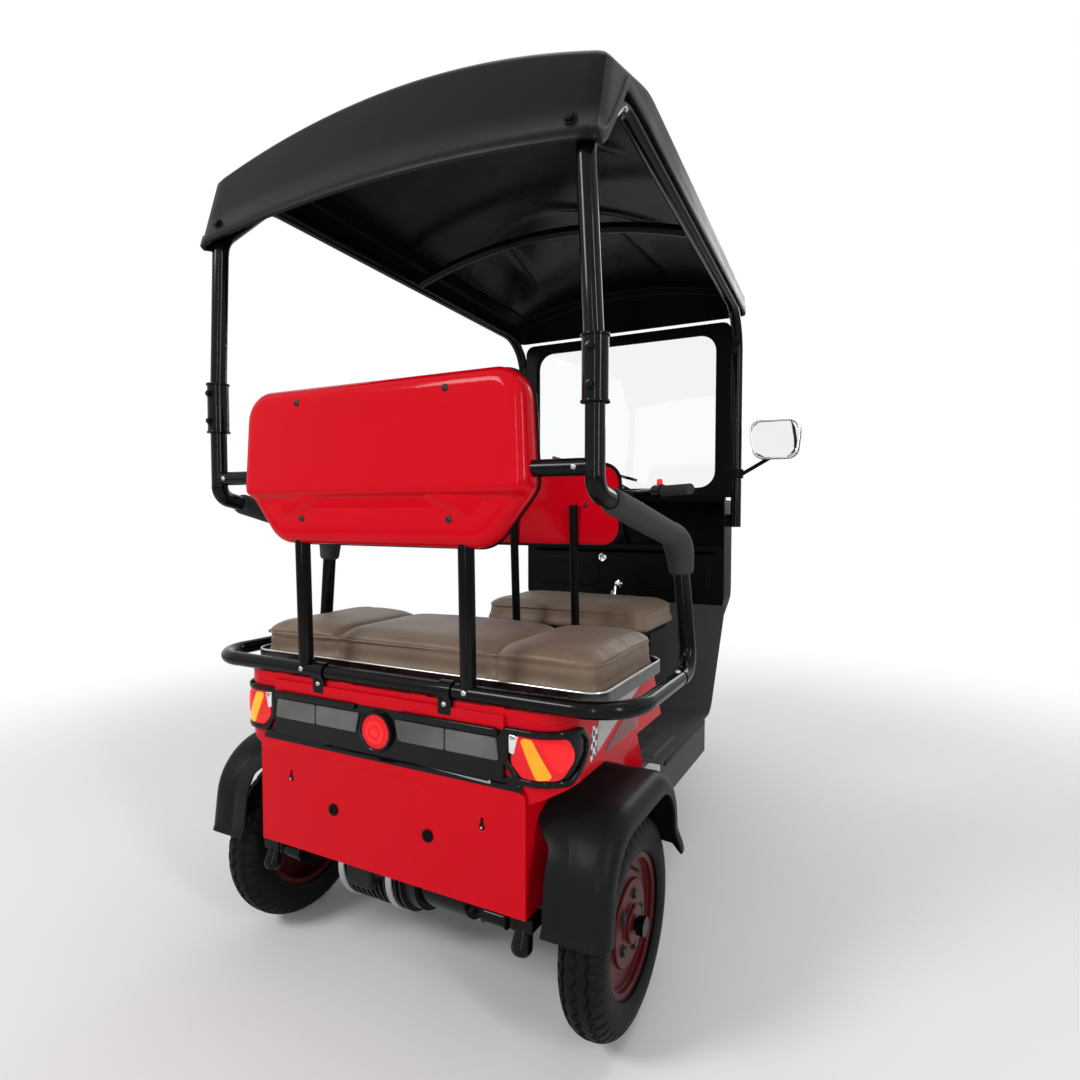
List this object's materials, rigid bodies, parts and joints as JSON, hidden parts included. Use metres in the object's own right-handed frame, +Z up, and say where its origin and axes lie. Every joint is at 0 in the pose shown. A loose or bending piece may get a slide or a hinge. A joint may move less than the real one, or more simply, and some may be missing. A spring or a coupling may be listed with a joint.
{
  "type": "electric passenger tricycle",
  "caption": "Roofed electric tricycle with a driver's seat, a rear bench with armrests, a windscreen, a steered front wheel and a driven rear axle.",
  "frame": {"origin": "centre of the bounding box, on the ground", "axes": "+Y forward, +X to the right, +Z up"},
  "size_m": [1.1532, 1.8069, 1.769],
  "materials": {
    "frame_black": "gloss black paint on the tubes and the chassis",
    "floor_black": "ribbed matte black moulding",
    "body_red": "gloss red",
    "panel_black": "gloss black",
    "lamp_red": "clear red lens",
    "reflector": "pale prismatic lens",
    "foam_black": "matte black foam",
    "vinyl_brown": "soft taupe brown vinyl",
    "tray_steel": "bright sheet",
    "roof_black": "grained charcoal black moulding",
    "trim_black": "satin black moulding",
    "glass": "clear",
    "headlamp": "clear lens over a bright bowl",
    "mirror": "silvered",
    "motor_alloy": "cast",
    "spring_steel": "dark leaves",
    "battery_grey": "plain cases",
    "tyre": "black rubber",
    "rim_maroon": "maroon paint"
  },
  "bodies": {
    "chassis": {"chassis_frame": "frame_black", "floor_pan": "floor_black", "rear_body": "body_red", "rear_deck": "body_red", "lamp_panel": "panel_black", "tail_lamps": "lamp_red", "centre_lamp": "lamp_red", "reflector_strips": "reflector", "rear_rail": "frame_black", "armrest_frames": "frame_black", "armrest_pads": "foam_black", "backrest_frame": "frame_black", "backrest_shell": "body_red", "backrest_cushion": "vinyl_brown", "bench_tray": "tray_steel", "bench_cushion": "vinyl_brown", "driver_seat_frame": "trim_black", "driver_cushion": "vinyl_brown", "driver_backrest_shell": "body_red", "driver_backrest_cushion": "vinyl_brown", "roof_frame": "frame_black", "roof_shell": "roof_black", "windscreen_frame": "trim_black", "windscreen_pane": "glass", "front_fairing": "trim_black", "inner_panel": "trim_black", "nose_cowl": "body_red", "headlamp": "headlamp", "mirrors": "trim_black", "mirror_glasses": "mirror", "rear_mudguards": "trim_black", "axle_housing": "frame_black", "drive_motor": "motor_alloy", "leaf_springs": "spring_steel", "battery_pack": "battery_grey"},
    "steering": {"fork": "frame_black", "handlebar": "frame_black", "grips": "foam_black", "front_mudguard": "trim_black"},
    "front_wheel": {"front_tyre": "tyre", "front_rim": "rim_maroon"},
    "rear_wheel_left": {"rear_tyre_left": "tyre", "rear_rim_left": "rim_maroon"},
    "rear_wheel_right": {"rear_tyre_right": "tyre", "rear_rim_right": "rim_maroon"}
  },
  "joints": [
    {"name": "steering_turn", "type": "hinge", "parent": "chassis", "child": "steering", "pos_m": [0, 0.68259, 0.17705], "axis": [0, -0.4226, 0.9063], "range_deg": [-35, 35]},
    {"name": "front_wheel_spin", "type": "hinge", "parent": "steering", "child": "front_wheel", "pos_m": [0, 0.7125, 0.191], "axis": [-1, 0, 0], "continuous": true},
    {"name": "rear_wheel_left_spin", "type": "hinge", "parent": "chassis", "child": "rear_wheel_left", "pos_m": [-0.4, -0.6875, 0.191], "axis": [-1, 0, 0], "continuous": true},
    {"name": "rear_wheel_right_spin", "type": "hinge", "parent": "chassis", "child": "rear_wheel_right", "pos_m": [0.4, -0.6875, 0.191], "axis": [-1, 0, 0], "continuous": true}
  ]
}
